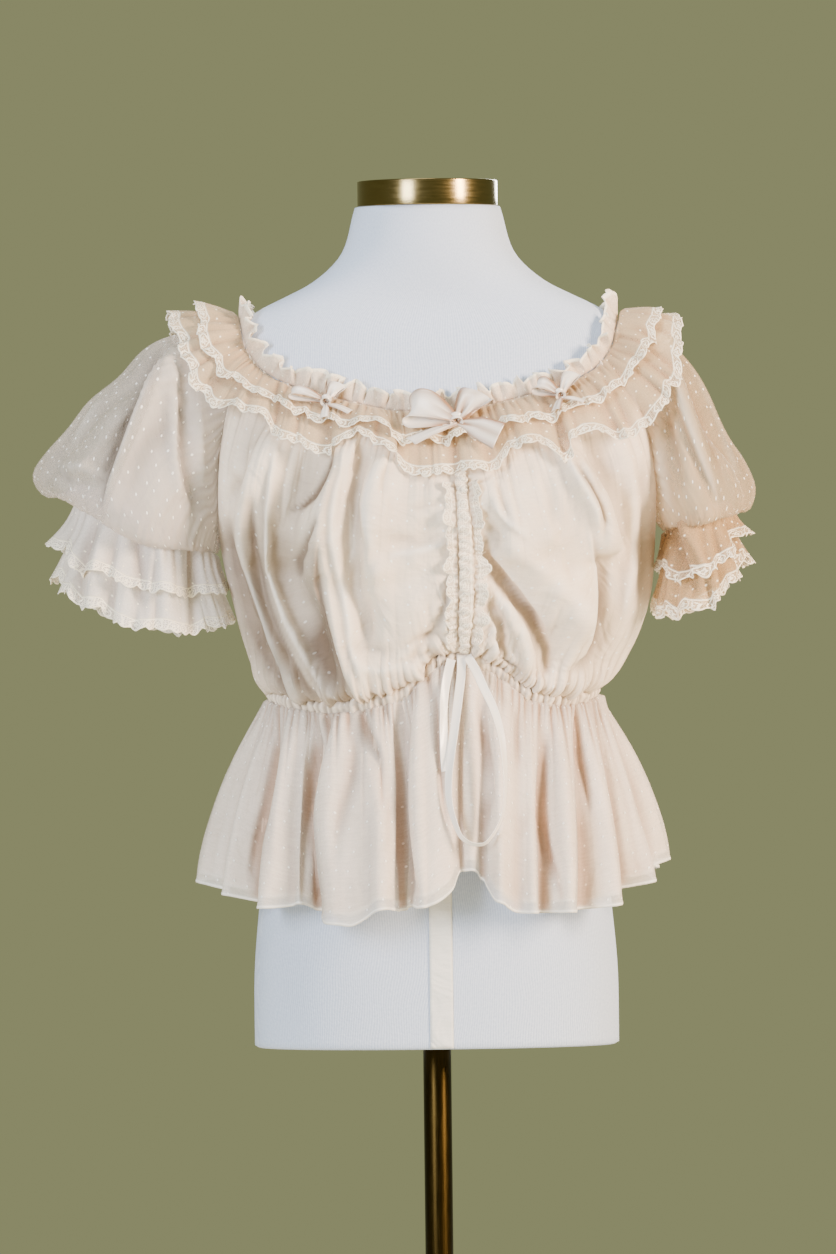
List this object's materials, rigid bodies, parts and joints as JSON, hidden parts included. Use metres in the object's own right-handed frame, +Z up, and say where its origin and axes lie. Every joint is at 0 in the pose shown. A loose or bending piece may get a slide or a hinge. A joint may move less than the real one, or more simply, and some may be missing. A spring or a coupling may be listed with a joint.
{
  "type": "peasant blouse on a limbless dress form",
  "caption": "Short-sleeved peasant blouse with ruffled neckline, lace tiers and gathered peplum, worn by a limbless dress form on a pole stand.",
  "frame": {"origin": "centre of the base plate's underside, where it stands on the floor", "axes": "+Z up along the pole, -Y out of the front of the blouse, +X towards the wearer's left"},
  "size_m": [0.6434, 0.3331, 1.3013],
  "materials": {
    "chiffon": "matte, sheer dotted layer over a plain lining",
    "sheer_chiffon": "matte, sheer with woven dots",
    "lining": "matte",
    "lace_ruffle": "matte net with lace edges",
    "satin_ribbon": "satin",
    "form_jersey": "matte jersey",
    "cap_brass": "polished",
    "stand_brass": "antiqued, satin"
  },
  "bodies": {
    "root": {"base_plate": "stand_brass", "bodice_back": "chiffon", "bodice_front_left": "chiffon", "bodice_front_right": "chiffon", "bow_centre": "satin_ribbon", "bow_left": "satin_ribbon", "bow_right": "satin_ribbon", "centre_lace_left": "lace_ruffle", "centre_lace_right": "lace_ruffle", "centre_strip": "chiffon", "drawstring": "satin_ribbon", "drawstring_end": "satin_ribbon", "dress_form": "form_jersey", "neck_cap": "cap_brass", "neck_heading": "lace_ruffle", "neck_ruffle_lower": "lace_ruffle", "neck_ruffle_upper": "lace_ruffle", "peplum_lining": "lining", "peplum_overlay": "chiffon", "pole": "stand_brass", "sleeve_left": "sheer_chiffon", "sleeve_left_tier_lower": "lace_ruffle", "sleeve_left_tier_upper": "lace_ruffle", "sleeve_right": "sheer_chiffon", "sleeve_right_tier_lower": "lace_ruffle", "sleeve_right_tier_upper": "lace_ruffle", "waist_casing": "chiffon"}
  },
  "joints": []
}
